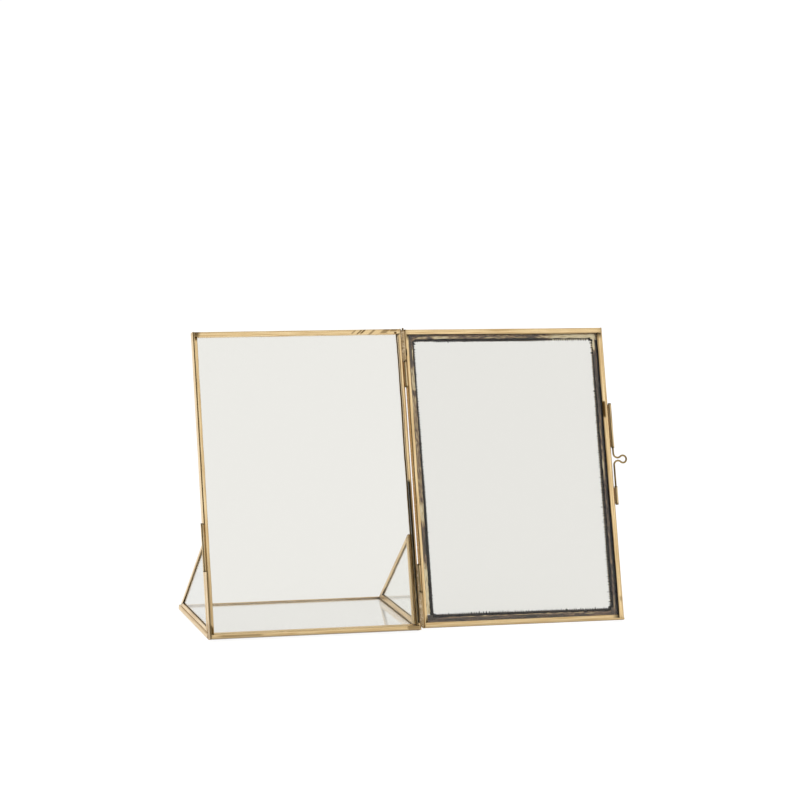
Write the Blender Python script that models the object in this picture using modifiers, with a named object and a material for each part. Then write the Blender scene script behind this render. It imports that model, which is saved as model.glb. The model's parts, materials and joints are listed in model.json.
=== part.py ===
# Glass photo frame: a leaning rear pane on a glass stand, and a hinged glass door with a wire latch.
# Metres, +Z up, the front faces -Y. The origin is on the table, under the base's front came.
# Every pane is edged with bent brass strip. The door is modelled open, beside the rear pane.

import math

import bmesh
import bpy
from mathutils import Matrix, Vector

MM = 0.001

# Overall sizes
PANE_WIDTH = 135.0 * MM
PANE_HEIGHT = 191.0 * MM
LEAN = math.radians(18.5)
BASE_DEPTH = 81.5 * MM
SIDE_APEX_HEIGHT = 57.5 * MM
SIDE_REAR_MARGIN = 3.5 * MM
DOOR_SHORT = 1.5 * MM
DOOR_LIFT = 1.0 * MM
DOOR_PAST_FLAT = math.radians(1.8)

# Sheet brass, glass and the clearances between pieces
GLASS = 2.0 * MM
SHEET = 0.5 * MM
GLASS_FIT = 0.2 * MM
GLASS_EDGE_GAP = 0.4 * MM
SEAM = 0.3 * MM
BEND_RADIUS = 0.9 * MM
FOLD_RADIUS = 0.65 * MM

# Widths of the strips' faces, from the outer edge inwards
PANE_FACE = 2.8 * MM
PANE_FACE_TOP = 3.3 * MM
PANE_REAR_LIP = 2.4 * MM
PANE_RECESS = 3.3 * MM
BASE_LIP = 2.6 * MM
SIDE_LIP = 2.6 * MM
SIDE_FOOT_LIP = 3.2 * MM
DOOR_RIM_HINGE = 2.4 * MM
DOOR_RIM_LATCH = 3.4 * MM
DOOR_RIM_RAIL = 3.25 * MM
DOOR_BORDER_HINGE = 7.0 * MM
DOOR_BORDER_LATCH = 8.1 * MM
DOOR_BORDER_TOP = 7.5 * MM
DOOR_BORDER_FOOT = 8.4 * MM

# Hinges and latch, with heights up the leaning pane from its foot
TUBE_RADIUS = 1.0 * MM
TUBE_CHAMFER = 0.12 * MM
PIN_RADIUS = 0.6 * MM
PIN_FIT = 0.05 * MM
PIN_OVERRUN = 0.6 * MM
UPPER_HINGE_DROP = 1.0 * MM
UPPER_KNUCKLE_FIXED = 19.8 * MM
UPPER_KNUCKLE_DOOR = 16.7 * MM
LOWER_HINGE_FOOT = 1.6 * MM
LOWER_KNUCKLE_FIXED = 21.9 * MM
LOWER_KNUCKLE_DOOR = 17.4 * MM
PIN_HEAD_RISE = 1.5 * MM
WIRE_RADIUS = 0.6 * MM
WIRE_FIT = 0.1 * MM
UPPER_GUIDE_FOOT = 111.6 * MM
UPPER_GUIDE_LENGTH = 29.2 * MM
LOWER_GUIDE_LENGTH = 12.0 * MM
KEEPER_DROP = 3.5 * MM
KEEPER_LENGTH = 30.0 * MM
LOOP_BELOW_GUIDE = 7.3 * MM
LOOP_ABOVE_GUIDE = 17.5 * MM
LOOP_RADIUS = 2.35 * MM
LOOP_NECK = 1.96 * MM
LOOP_FILLET = 2.8 * MM
BOLT_UPPER_LEG = 22.7 * MM
BOLT_END_INSET = 1.0 * MM

ROUND_STEPS = 24
BEND_STEPS = 5
CUT_REACH = 12.0 * MM

# Sizes that follow from those above
DOOR_HEIGHT = PANE_HEIGHT - DOOR_SHORT
CAME_THICKNESS = 2 * SHEET + 2 * GLASS_FIT + GLASS
PANE_THICKNESS = PANE_RECESS + 2 * GLASS_FIT + GLASS + SHEET
GLASS_INSET = SHEET + GLASS_EDGE_GAP
MATING_PLANE = -(PANE_THICKNESS + SEAM / 2)
# A tube nests against a strip's round edge: its centre lies on the mating plane, a seam away.
TUBE_REACH = BEND_RADIUS + TUBE_RADIUS + SEAM
TUBE_OFFSET = math.sqrt(TUBE_REACH ** 2 - (BEND_RADIUS + SEAM / 2) ** 2) - BEND_RADIUS
UPPER_HINGE_TOP = PANE_HEIGHT - UPPER_HINGE_DROP
UPPER_HINGE_SPLIT = UPPER_HINGE_TOP - UPPER_KNUCKLE_FIXED
UPPER_HINGE_FOOT = UPPER_HINGE_SPLIT - UPPER_KNUCKLE_DOOR
LOWER_HINGE_SPLIT = LOWER_HINGE_FOOT + LOWER_KNUCKLE_FIXED
LOWER_HINGE_TOP = LOWER_HINGE_SPLIT + LOWER_KNUCKLE_DOOR
LOOP_HEIGHT = UPPER_GUIDE_FOOT - LOOP_BELOW_GUIDE
LOWER_GUIDE_TOP = LOOP_HEIGHT - LOOP_ABOVE_GUIDE
LOWER_GUIDE_FOOT = LOWER_GUIDE_TOP - LOWER_GUIDE_LENGTH
BASE_FRONT = -BASE_LIP / 2
BASE_BACK = BASE_FRONT + BASE_DEPTH
PANE_FOOT = BASE_FRONT - CAME_THICKNESS * math.tan(LEAN) - SEAM / math.cos(LEAN)

X = Vector((1, 0, 0))
Y = Vector((0, 1, 0))
Z = Vector((0, 0, 1))


def clear_scene():
    for obj in list(bpy.data.objects):
        bpy.data.objects.remove(obj, do_unlink=True)


def new_collection(name):
    collection = bpy.data.collections.new(name)
    bpy.context.scene.collection.children.link(collection)
    return collection


def new_material(name, color, roughness, metallic, transmission=0.0):
    material = bpy.data.materials.new(name)
    material.use_nodes = True
    shader = material.node_tree.nodes["Principled BSDF"]
    shader.inputs["Base Color"].default_value = (*color, 1.0)
    shader.inputs["Roughness"].default_value = roughness
    shader.inputs["Metallic"].default_value = metallic
    shader.inputs["Transmission Weight"].default_value = transmission
    return material


def new_empty(name, parent, location, rotation=(0, 0, 0)):
    empty = bpy.data.objects.new(name, None)
    empty.empty_display_size = 0.01
    empty.location = location
    empty.rotation_euler = rotation
    empty.parent = parent
    parts.objects.link(empty)
    return empty


def add_part(name, mesh, material, parent, location, basis=None, smooth=False):
    obj = bpy.data.objects.new(name, mesh)
    mesh.materials.clear()
    mesh.materials.append(material)
    if smooth:
        mesh.shade_smooth()
        mesh.set_sharp_from_angle(angle=math.radians(35))
    obj.parent = parent
    obj.location = location
    if basis:
        obj.rotation_euler = basis.to_euler()
    parts.objects.link(obj)
    return obj


def basis_of(local_x, local_y):
    # Columns: local X, local Y, and their cross product for local Z.
    return Matrix((local_x, local_y, local_x.cross(local_y))).transposed()


def curve_mesh(name, curve):
    # The curve's caps are loose, so they are welded once it is a mesh.
    source = bpy.data.objects.new(name, curve)
    bpy.context.scene.collection.objects.link(source)
    depsgraph = bpy.context.evaluated_depsgraph_get()
    mesh = bpy.data.meshes.new_from_object(source.evaluated_get(depsgraph))
    mesh.name = name
    bpy.data.objects.remove(source, do_unlink=True)
    bm = bmesh.new()
    bm.from_mesh(mesh)
    bmesh.ops.remove_doubles(bm, verts=bm.verts, dist=1e-6)
    bmesh.ops.recalc_face_normals(bm, faces=bm.faces)
    bm.to_mesh(mesh)
    bm.free()
    return mesh


def extruded_mesh(name, outline, length):
    # A closed flat outline in X and Y, extruded along Z from 0 to the length.
    curve = bpy.data.curves.new(name, "CURVE")
    curve.dimensions = "2D"
    curve.fill_mode = "BOTH"
    curve.extrude = length / 2
    spline = curve.splines.new("POLY")
    spline.points.add(len(outline) - 1)
    for point, (x, y) in zip(spline.points, outline):
        point.co = (x, y, 0, 1)
    spline.use_cyclic_u = True
    mesh = curve_mesh(name, curve)
    mesh.transform(Matrix.Translation((0, 0, length / 2)))
    return mesh


def bent_strip(corners, radii):
    # The section of a strip bent along a path: its outer side, then its inner side back again.
    outer = []
    inner = []
    count = len(corners)
    for i, (x, y) in enumerate(corners):
        here = Vector((x, y))
        arriving = (here - Vector(corners[i - 1])).normalized() if i > 0 else None
        leaving = (Vector(corners[i + 1]) - here).normalized() if i < count - 1 else None
        if arriving is None or leaving is None:
            heading = leaving or arriving
            normal = Vector((-heading.y, heading.x))
            outer.append(here)
            inner.append(here + normal * SHEET)
            continue
        radius = radii[i - 1]
        turn = arriving.angle(leaving)
        start = Vector((-arriving.y, arriving.x))
        centre = here - arriving * radius * math.tan(turn / 2) + start * radius
        for step in range(BEND_STEPS + 1):
            angle = turn * step / BEND_STEPS
            normal = start * math.cos(angle) - arriving * math.sin(angle)
            outer.append(centre - normal * radius)
            inner.append(centre - normal * (radius - SHEET))
    return [tuple(point) for point in outer + inner[::-1]]


def came_section(face_lip, back_lip, thickness=CAME_THICKNESS):
    # A U round the glass: X runs inwards from the outer edge, Y back from the face.
    corners = [(back_lip, thickness), (0, thickness), (0, 0), (face_lip, 0)]
    return bent_strip(corners, [FOLD_RADIUS, BEND_RADIUS])


def moulding_section(face_width):
    # The rear pane's deeper strip: rear lip, web, face, and a return that holds the glass back.
    corners = [
        (PANE_REAR_LIP, PANE_THICKNESS),
        (0, PANE_THICKNESS),
        (0, 0),
        (face_width, 0),
        (face_width, PANE_RECESS),
    ]
    return bent_strip(corners, [FOLD_RADIUS, BEND_RADIUS, FOLD_RADIUS])


def inset_polygon(points, distance):
    # Each side of a convex outline, listed anticlockwise, moves inwards by the distance.
    inset = []
    count = len(points)
    for i in range(count):
        before = (Vector(points[i]) - Vector(points[i - 1])).normalized()
        after = (Vector(points[(i + 1) % count]) - Vector(points[i])).normalized()
        half = (math.pi - before.angle(after)) / 2
        inward = (after - before).normalized()
        inset.append(tuple(Vector(points[i]) + inward * distance / math.sin(half)))
    return inset


def square_end(setback):
    return lambda across: setback


def mitred_end(corner_angle):
    # The end follows the line that halves the corner, less half a seam.
    half = corner_angle / 2
    return lambda across: SEAM / 2 / math.sin(half) + across / math.tan(half)


def add_strip(name, section, start, end, across, depth, parent, ends=None):
    # A strip along the outer edge of a pane, from start to end.
    if (end - start).dot(across.cross(depth)) < 0:
        start, end = end, start
        ends = ends[::-1] if ends else None
    length = (end - start).length
    mesh = extruded_mesh(name, section, length)
    setbacks = ends or (square_end(0), square_end(0))
    for vertex in mesh.vertices:
        if vertex.co.z < length / 2:
            vertex.co.z += setbacks[0](vertex.co.x)
        else:
            vertex.co.z -= setbacks[1](vertex.co.x)
    strip = add_part(name, mesh, brass, parent, start, basis_of(across, depth), smooth=True)
    strip["length"] = length
    return strip


def cut_box(target, name, low, high):
    # A box cut out of a strip, in the strip's own across, depth and length.
    mesh = bpy.data.meshes.new(name)
    bm = bmesh.new()
    centre = (Vector(low) + Vector(high)) / 2
    size = Vector(high) - Vector(low)
    placing = Matrix.Translation(centre) @ Matrix.Diagonal((*size, 1.0))
    bmesh.ops.create_cube(bm, size=1.0, matrix=placing)
    bm.to_mesh(mesh)
    bm.free()
    cutter = bpy.data.objects.new(name, mesh)
    cutter.parent = target
    cutter.hide_render = True
    cutter.display_type = "WIRE"
    cutters.objects.link(cutter)
    boolean = target.modifiers.new(name, "BOOLEAN")
    boolean.operation = "DIFFERENCE"
    boolean.solver = "EXACT"
    boolean.object = cutter


def cope(strip, corner, face_width, back_width, split):
    # The lips stop short of the strip that crosses at this corner, and the web runs on as a tab.
    length = strip["length"]
    at_start = (strip.location - corner).length < length / 2
    for label, width, near_y, far_y in (
        ("face", face_width, -SEAM, split),
        ("back", back_width, split, split + CUT_REACH),
    ):
        first = -SEAM if at_start else length - width - SEAM
        last = width + SEAM if at_start else length + SEAM
        side = "start" if at_start else "end"
        low = (BEND_RADIUS, near_y, first)
        high = (CUT_REACH, far_y, last)
        cut_box(strip, f"{strip.name}_{side}_{label}_cope", low, high)


def add_glass(name, outline, parent, location, across, up):
    # A flat pane: its outline lies across and up, its thickness along their cross product.
    mesh = extruded_mesh(name, outline, GLASS)
    return add_part(name, mesh, glass, parent, location, basis_of(across, up))


def turned_part(name, profile, material, parent, location, closed):
    # The profile is listed as (radius, height), down its outer side, and turns about Z.
    mesh = bpy.data.meshes.new(name)
    bm = bmesh.new()
    ring = [bm.verts.new((radius, 0, height)) for radius, height in profile]
    for first, second in zip(ring, ring[1:] + (ring[:1] if closed else [])):
        bm.edges.new((first, second))
    bm.to_mesh(mesh)
    bm.free()
    obj = add_part(name, mesh, material, parent, location)
    screw = obj.modifiers.new("turn", "SCREW")
    screw.axis = "Z"
    screw.angle = 2 * math.pi
    screw.steps = ROUND_STEPS
    screw.render_steps = ROUND_STEPS
    screw.use_merge_vertices = True
    screw.merge_threshold = 1e-6
    screw.use_smooth_shade = False
    return obj


def add_tube(name, material, parent, x, y, foot, top, bore):
    height = top - foot
    edge = TUBE_CHAMFER
    profile = [
        (bore + edge, height),
        (TUBE_RADIUS - edge, height),
        (TUBE_RADIUS, height - edge),
        (TUBE_RADIUS, edge),
        (TUBE_RADIUS - edge, 0),
        (bore + edge, 0),
        (bore, edge),
        (bore, height - edge),
    ]
    return turned_part(name, profile, material, parent, (x, y, foot), closed=True)


def add_pin(name, parent, x, y, foot, top):
    # A straight pin with rounded ends.
    height = top - foot
    round_end = PIN_RADIUS * 0.7
    arcs = 4
    profile = [(0, height)]
    for step in range(1, arcs + 1):
        angle = math.pi / 2 * step / arcs
        radius = PIN_RADIUS * math.sin(angle)
        profile.append((radius, height - round_end * (1 - math.cos(angle))))
    for step in range(arcs):
        angle = math.pi / 2 * step / arcs
        profile.append((PIN_RADIUS * math.cos(angle), round_end * (1 - math.sin(angle))))
    profile.append((0, 0))
    return turned_part(name, profile, steel, parent, (x, y, foot), closed=False)


def build_rear_pane(lean):
    # The pane's own frame: X across, Y back from the rear face, Z up the lean.
    half = PANE_WIDTH / 2
    front = -PANE_THICKNESS
    section = moulding_section(PANE_FACE)
    top_section = moulding_section(PANE_FACE_TOP)
    over = (square_end(BEND_RADIUS + SEAM), square_end(BEND_RADIUS + SEAM))
    foot_left = Vector((-half, front, 0))
    foot_right = Vector((half, front, 0))
    top_left = Vector((-half, front, PANE_HEIGHT))
    top_right = Vector((half, front, PANE_HEIGHT))
    add_strip("pane_rail_bottom", section, foot_left, foot_right, Z, Y, lean, over)
    add_strip("pane_rail_top", top_section, top_left, top_right, -Z, Y, lean, over)
    split = PANE_RECESS + GLASS_FIT + GLASS / 2
    for name, foot, top, inward in (
        ("pane_stile_left", foot_left, top_left, X),
        ("pane_stile_right", foot_right, top_right, -X),
    ):
        stile = add_strip(name, section, foot, top, inward, Y, lean)
        cope(stile, foot, PANE_FACE, PANE_REAR_LIP, split)
        cope(stile, top, PANE_FACE_TOP, PANE_REAR_LIP, split)
    outline = [
        (GLASS_INSET - half, GLASS_INSET),
        (half - GLASS_INSET, GLASS_INSET),
        (half - GLASS_INSET, PANE_HEIGHT - GLASS_INSET),
        (GLASS_INSET - half, PANE_HEIGHT - GLASS_INSET),
    ]
    glass_back = Vector((0, -SHEET - GLASS_FIT, 0))
    add_glass("pane_glass", outline, lean, glass_back, X, Z)


def build_base():
    half = PANE_WIDTH / 2
    section = came_section(BASE_LIP, BASE_LIP)
    front_left = Vector((-half, BASE_FRONT, CAME_THICKNESS))
    front_right = Vector((half, BASE_FRONT, CAME_THICKNESS))
    back_left = Vector((-half, BASE_BACK, CAME_THICKNESS))
    back_right = Vector((half, BASE_BACK, CAME_THICKNESS))
    over = (square_end(BEND_RADIUS + SEAM), square_end(BEND_RADIUS + SEAM))
    add_strip("base_came_front", section, front_left, front_right, Y, -Z, None, over)
    add_strip("base_came_back", section, back_left, back_right, -Y, -Z, None, over)
    for name, front, back, inward in (
        ("base_came_left", front_left, back_left, X),
        ("base_came_right", front_right, back_right, -X),
    ):
        came = add_strip(name, section, front, back, inward, -Z, None)
        for corner in (front, back):
            cope(came, corner, BASE_LIP, BASE_LIP, CAME_THICKNESS / 2)
    outline = [
        (GLASS_INSET - half, GLASS_INSET + BASE_FRONT),
        (half - GLASS_INSET, GLASS_INSET + BASE_FRONT),
        (half - GLASS_INSET, BASE_BACK - GLASS_INSET),
        (GLASS_INSET - half, BASE_BACK - GLASS_INSET),
    ]
    add_glass("base_glass", outline, None, Vector((0, 0, SHEET + GLASS_FIT)), X, Y)


def side_outline():
    # The triangle between the leaning pane, the base and the slanting rear edge, as (y, z).
    foot = CAME_THICKNESS + SEAM
    behind_pane = PANE_FOOT + SEAM / math.cos(LEAN)
    slope = math.tan(LEAN)
    front = (behind_pane + foot * slope, foot)
    rear = (BASE_BACK - SIDE_REAR_MARGIN, foot)
    apex = (behind_pane + SIDE_APEX_HEIGHT * slope, SIDE_APEX_HEIGHT)
    return [front, rear, apex]


def build_side(label, outer_x, inward):
    corners = side_outline()
    foot_section = came_section(SIDE_FOOT_LIP, SIDE_FOOT_LIP)
    edge_section = came_section(SIDE_LIP, SIDE_LIP)
    sections = (foot_section, edge_section, edge_section)
    names = ("foot", "rear", "front")
    count = len(corners)
    points = [Vector((outer_x, y, z)) for y, z in corners]
    angles = []
    for i in range(count):
        to_next = points[(i + 1) % count] - points[i]
        to_last = points[i - 1] - points[i]
        angles.append(to_next.angle(to_last))
    for i in range(count):
        start = points[i]
        end = points[(i + 1) % count]
        along = (end - start).normalized()
        across = X.cross(along)
        ends = (mitred_end(angles[i]), mitred_end(angles[(i + 1) % count]))
        name = f"side_came_{names[i]}_{label}"
        add_strip(name, sections[i], start, end, across, inward, None, ends)
    outline = inset_polygon(corners, GLASS_INSET)
    centre_x = outer_x + inward.x * CAME_THICKNESS / 2
    low_face = Vector((centre_x - GLASS / 2, 0, 0))
    add_glass(f"side_glass_{label}", outline, None, low_face, Y, Z)


def build_door(door):
    # The door's frame turns about the hinge: X across from the axis, Y back, Z up the lean.
    near = TUBE_OFFSET
    far = TUBE_OFFSET + PANE_WIDTH
    face = SEAM / 2
    foot = DOOR_LIFT
    top = DOOR_LIFT + DOOR_HEIGHT
    top_rail = came_section(DOOR_RIM_RAIL, DOOR_BORDER_TOP)
    foot_rail = came_section(DOOR_RIM_RAIL, DOOR_BORDER_FOOT)
    hinge_side = came_section(DOOR_RIM_HINGE, DOOR_BORDER_HINGE)
    latch_side = came_section(DOOR_RIM_LATCH, DOOR_BORDER_LATCH)
    foot_near = Vector((near, face, foot))
    foot_far = Vector((far, face, foot))
    top_near = Vector((near, face, top))
    top_far = Vector((far, face, top))
    over = square_end(BEND_RADIUS + SEAM)
    full = square_end(0)
    split = CAME_THICKNESS / 2
    add_strip("door_rail_top", top_rail, top_near, top_far, -Z, Y, door, (over, over))
    # At the foot the latch stile runs through, and the rail's lips stop at it.
    bottom = add_strip("door_rail_bottom", foot_rail, foot_near, foot_far, Z, Y, door, (over, full))
    cope(bottom, foot_far, DOOR_RIM_LATCH, DOOR_BORDER_LATCH, split)
    hinge_stile = add_strip("door_stile_hinge", hinge_side, foot_near, top_near, X, Y, door)
    cope(hinge_stile, foot_near, DOOR_RIM_RAIL, DOOR_BORDER_FOOT, split)
    cope(hinge_stile, top_near, DOOR_RIM_RAIL, DOOR_BORDER_TOP, split)
    latch_stile = add_strip("door_stile_latch", latch_side, foot_far, top_far, -X, Y, door, (over, full))
    cope(latch_stile, top_far, DOOR_RIM_RAIL, DOOR_BORDER_TOP, split)
    outline = [
        (near + GLASS_INSET, foot + GLASS_INSET),
        (far - GLASS_INSET, foot + GLASS_INSET),
        (far - GLASS_INSET, top - GLASS_INSET),
        (near + GLASS_INSET, top - GLASS_INSET),
    ]
    glass_back = Vector((0, face + SHEET + GLASS_FIT + GLASS, 0))
    add_glass("door_glass", outline, door, glass_back, X, Z)


def build_hinges(lean, door):
    x = PANE_WIDTH / 2 + TUBE_OFFSET
    y = MATING_PLANE
    bore = PIN_RADIUS + PIN_FIT
    gap = SEAM / 2
    add_tube("hinge_upper_knuckle_fixed", brass, lean, x, y, UPPER_HINGE_SPLIT + gap, UPPER_HINGE_TOP, bore)
    add_tube("hinge_upper_knuckle_door", brass, door, 0, 0, UPPER_HINGE_FOOT, UPPER_HINGE_SPLIT - gap, bore)
    add_tube("hinge_lower_knuckle_door", brass, door, 0, 0, LOWER_HINGE_SPLIT + gap, LOWER_HINGE_TOP, bore)
    add_tube("hinge_lower_knuckle_fixed", brass, lean, x, y, LOWER_HINGE_FOOT, LOWER_HINGE_SPLIT - gap, bore)
    add_pin("hinge_upper_pin", lean, x, y, UPPER_HINGE_FOOT - PIN_OVERRUN, UPPER_HINGE_TOP + PIN_HEAD_RISE)
    add_pin("hinge_lower_pin", lean, x, y, LOWER_HINGE_FOOT - PIN_OVERRUN, LOWER_HINGE_TOP + PIN_OVERRUN)


def arc(centre, radius, start, end, steps):
    points = []
    for step in range(steps + 1):
        angle = math.radians(start + (end - start) * step / steps)
        points.append((centre[0] + radius * math.cos(angle), centre[1] + radius * math.sin(angle)))
    return points


def bolt_points():
    # Straight leg, fillet, open loop, fillet, straight leg, about the loop's height on the axis.
    fillet_height = LOOP_NECK / 2 + LOOP_FILLET
    reach = LOOP_RADIUS + LOOP_FILLET
    loop_x = LOOP_FILLET + math.sqrt(reach ** 2 - fillet_height ** 2)
    meeting = math.degrees(math.asin(fillet_height / reach))
    upper = arc((LOOP_FILLET, fillet_height), LOOP_FILLET, 180, 360 - meeting, 9)
    loop = arc((loop_x, 0), LOOP_RADIUS, 180 - meeting, meeting - 180, 22)
    lower = [(x, -z) for x, z in reversed(upper)]
    leg_top = UPPER_GUIDE_FOOT - LOOP_HEIGHT + BOLT_UPPER_LEG
    leg_foot = LOWER_GUIDE_FOOT - LOOP_HEIGHT + BOLT_END_INSET
    return [(0, leg_top), *upper, *loop[1:-1], *lower, (0, leg_foot)]


def build_latch(lean, door):
    bore = WIRE_RADIUS + WIRE_FIT
    axis_x = 2 * TUBE_OFFSET + PANE_WIDTH
    upper_top = UPPER_GUIDE_FOOT + UPPER_GUIDE_LENGTH
    add_tube("latch_guide_upper", brass, door, axis_x, 0, UPPER_GUIDE_FOOT, upper_top, bore)
    add_tube("latch_guide_lower", brass, door, axis_x, 0, LOWER_GUIDE_FOOT, LOWER_GUIDE_TOP, bore)
    # Shut, the door brings its guides in line with the keeper.
    keeper_top = LOWER_GUIDE_FOOT - KEEPER_DROP
    keeper_x = -PANE_WIDTH / 2 - TUBE_OFFSET
    keeper_foot = keeper_top - KEEPER_LENGTH
    add_tube("latch_keeper", brass, lean, keeper_x, MATING_PLANE, keeper_foot, keeper_top, bore)
    slide = new_empty("latch_slide", door, (axis_x, 0, LOOP_HEIGHT))
    curve = bpy.data.curves.new("latch_bolt", "CURVE")
    curve.dimensions = "3D"
    curve.bevel_depth = WIRE_RADIUS
    curve.bevel_resolution = 2
    curve.use_fill_caps = True
    spline = curve.splines.new("POLY")
    route = bolt_points()
    spline.points.add(len(route) - 1)
    for point, (x, z) in zip(spline.points, route):
        point.co = (x, 0, z, 1)
    add_part("latch_bolt", curve_mesh("latch_bolt", curve), steel, slide, (0, 0, 0), smooth=True)


clear_scene()
parts = new_collection("photo_frame")
cutters = new_collection("cutters")
brass = new_material("brass", (0.62, 0.44, 0.21), 0.32, 1.0)
glass = new_material("glass", (0.93, 0.95, 0.93), 0.03, 0.0, transmission=1.0)
steel = new_material("wire", (0.30, 0.25, 0.15), 0.38, 1.0)

lean_frame = new_empty("lean_frame", None, (0, PANE_FOOT, 0), (-LEAN, 0, 0))
hinge_place = (PANE_WIDTH / 2 + TUBE_OFFSET, MATING_PLANE, 0)
door_frame = new_empty("door_axis", lean_frame, hinge_place, (0, 0, DOOR_PAST_FLAT))

build_rear_pane(lean_frame)
build_base()
build_side("left", -PANE_WIDTH / 2, X)
build_side("right", PANE_WIDTH / 2, -X)
build_door(door_frame)
build_hinges(lean_frame, door_frame)
build_latch(lean_frame, door_frame)

bpy.context.view_layer.update()
print("hinge axis at", [round(c, 6) for c in door_frame.matrix_world.translation])
print("axis up the lean", [round(c, 6) for c in lean_frame.matrix_world.to_3x3() @ Z])
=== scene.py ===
import json
import math

import bmesh
import bpy
import numpy as np
from mathutils import Matrix, Vector


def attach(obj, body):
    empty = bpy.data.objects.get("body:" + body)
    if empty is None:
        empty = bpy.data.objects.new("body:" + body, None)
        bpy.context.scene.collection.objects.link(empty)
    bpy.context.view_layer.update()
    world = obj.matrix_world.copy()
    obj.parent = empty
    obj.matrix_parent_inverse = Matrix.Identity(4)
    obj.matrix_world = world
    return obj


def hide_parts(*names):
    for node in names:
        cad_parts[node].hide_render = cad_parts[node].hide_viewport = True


# A glass photo frame edged in antiqued brass strip, open on its glass stand.
# Sizes are in millimetres in each part's own place, and turned to metres when a mesh is made.

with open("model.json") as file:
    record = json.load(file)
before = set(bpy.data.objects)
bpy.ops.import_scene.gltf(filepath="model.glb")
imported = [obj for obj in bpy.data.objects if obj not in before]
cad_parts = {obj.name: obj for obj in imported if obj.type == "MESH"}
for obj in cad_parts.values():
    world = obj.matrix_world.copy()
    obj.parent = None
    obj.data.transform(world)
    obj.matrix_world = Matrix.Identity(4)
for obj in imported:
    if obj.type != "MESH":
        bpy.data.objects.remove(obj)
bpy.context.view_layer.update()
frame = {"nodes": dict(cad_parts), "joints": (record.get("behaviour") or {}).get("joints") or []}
mm = 0.001
print("frame loaded:", len(frame["nodes"]), "nodes")


# Places: where each part's own axes lie in the room

sizes = {
    "paneWidth": 135.0,
    "paneHeight": 191.0,
    "paneDepth": 6.2,
    "paneRecess": 3.3,
    "doorHeight": 189.5,
    "doorLift": 1.0,
    "doorPastFlat": 1.8,  # degrees
    "cameDepth": 3.4,
    "baseDepth": 81.5,
    "baseLip": 2.6,
    "sideHeight": 57.5,
    "sideRearMargin": 3.5,
    "sheet": 0.5,
    "bend": 0.9,  # outside radius of the rolled front edge
    "fold": 0.65,  # outside radius of the other bends
    "seam": 0.3,
}

hinge = next(joint for joint in frame["joints"] if joint["name"] == "door_hinge")
hingePoint = np.array(hinge["pos_m"])
rightAxis = np.array([1.0, 0.0, 0.0])
upAxis = -np.array(hinge["axis"])
backAxis = np.cross(upAxis, rightAxis)
lean = math.atan2(upAxis[1], upAxis[2])
halfWidth = sizes["paneWidth"] / 2
tubeOffset = hingePoint[0] / mm - halfWidth  # tube axes stand this far outside the strips' edges
matingDepth = sizes["paneDepth"] + sizes["seam"] / 2

# The pane's foot line lies on the table; the hinge axis stands matingDepth in front of its back.
hingeHeight = (hingePoint[2] / mm - matingDepth * math.sin(lean)) / math.cos(lean)
footY = hingePoint[1] / mm + matingDepth * math.cos(lean) - hingeHeight * math.sin(lean)
past = math.radians(sizes["doorPastFlat"])


def makePlace(origin, x, y, z):
    return {"origin": np.array(origin, float), "axes": np.array([x, y, z])}


def toRoom(place, points):
    # Origin plus each coordinate times its axis, in metres.
    return (place["origin"] + points @ place["axes"]) * mm


roomPlace = makePlace((0, 0, 0), rightAxis, (0, 1, 0), (0, 0, 1))
leanPlace = makePlace((0, footY, 0), rightAxis, backAxis, upAxis)
hingeOrigin = leanPlace["origin"] + rightAxis * (halfWidth + tubeOffset) - backAxis * matingDepth
doorRight = rightAxis * math.cos(past) + backAxis * math.sin(past)
doorBack = backAxis * math.cos(past) - rightAxis * math.sin(past)
doorPlace = makePlace(hingeOrigin, doorRight, doorBack, upAxis)


# Materials

def linearColour(hexText):
    # sRGB to linear: the low part is divided by 12.92, the rest is a power curve of 2.4.
    values = np.array([int(hexText[i:i + 2], 16) / 255 for i in (1, 3, 5)])
    curved = np.where(values <= 0.04045, values / 12.92, ((values + 0.055) / 1.055) ** 2.4)
    return (*curved.tolist(), 1.0)


def addNode(tree, kind, settings=None, links=None):
    # Lower-case names are the node's own settings; numbers and capitalised names are its sockets.
    node = tree.nodes.new("ShaderNode" + kind)
    for key, value in (settings or {}).items():
        if key == "ramp":
            stops = node.color_ramp.elements
            while len(stops) < len(value):
                stops.new(0.5)
            for stop, (position, colour) in zip(stops, value):
                stop.position = position
                stop.color = linearColour(colour)
        elif isinstance(key, str) and key[0].islower():
            setattr(node, key, value)
        else:
            node.inputs[key].default_value = value
    for key, source in (links or {}).items():
        socket = source.outputs[0] if isinstance(source, bpy.types.Node) else source
        tree.links.new(socket, node.inputs[key])
    return node


def newMaterial(name):
    material = bpy.data.materials.new(name)
    material.use_nodes = True
    tree = material.node_tree
    tree.nodes.clear()
    return material, tree


def readStrip(tree, *keys):
    # A strip's own flat place, along and across it, and what else its points carry.
    along, across, *others = (
        addNode(tree, "Attribute", {"attribute_name": key}).outputs["Fac"]
        for key in ("along", "across", *keys))
    return addNode(tree, "CombineXYZ", links={0: along, 1: across}), *others


def drawnNoise(tree, place, stroke, settings):
    # Noise drawn out to strokes of this length and width.
    shrink = (1 / stroke[0], 1 / stroke[1], 1)
    stretched = addNode(tree, "VectorMath", {"operation": "MULTIPLY", 1: shrink}, {0: place})
    return addNode(tree, "TexNoise", {"Scale": 1.0, "Detail": 3.0, **settings}, {0: stretched})


def raysOf(tree, *kinds):
    # 1 for rays of these kinds, and 0 for others.
    outputs = addNode(tree, "LightPath").outputs
    share = outputs[f"Is {kinds[0]} Ray"]
    for kind in kinds[1:]:
        share = addNode(tree, "Math", {"operation": "MAXIMUM"}, {0: share, 1: outputs[f"Is {kind} Ray"]})
    return share


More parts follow.
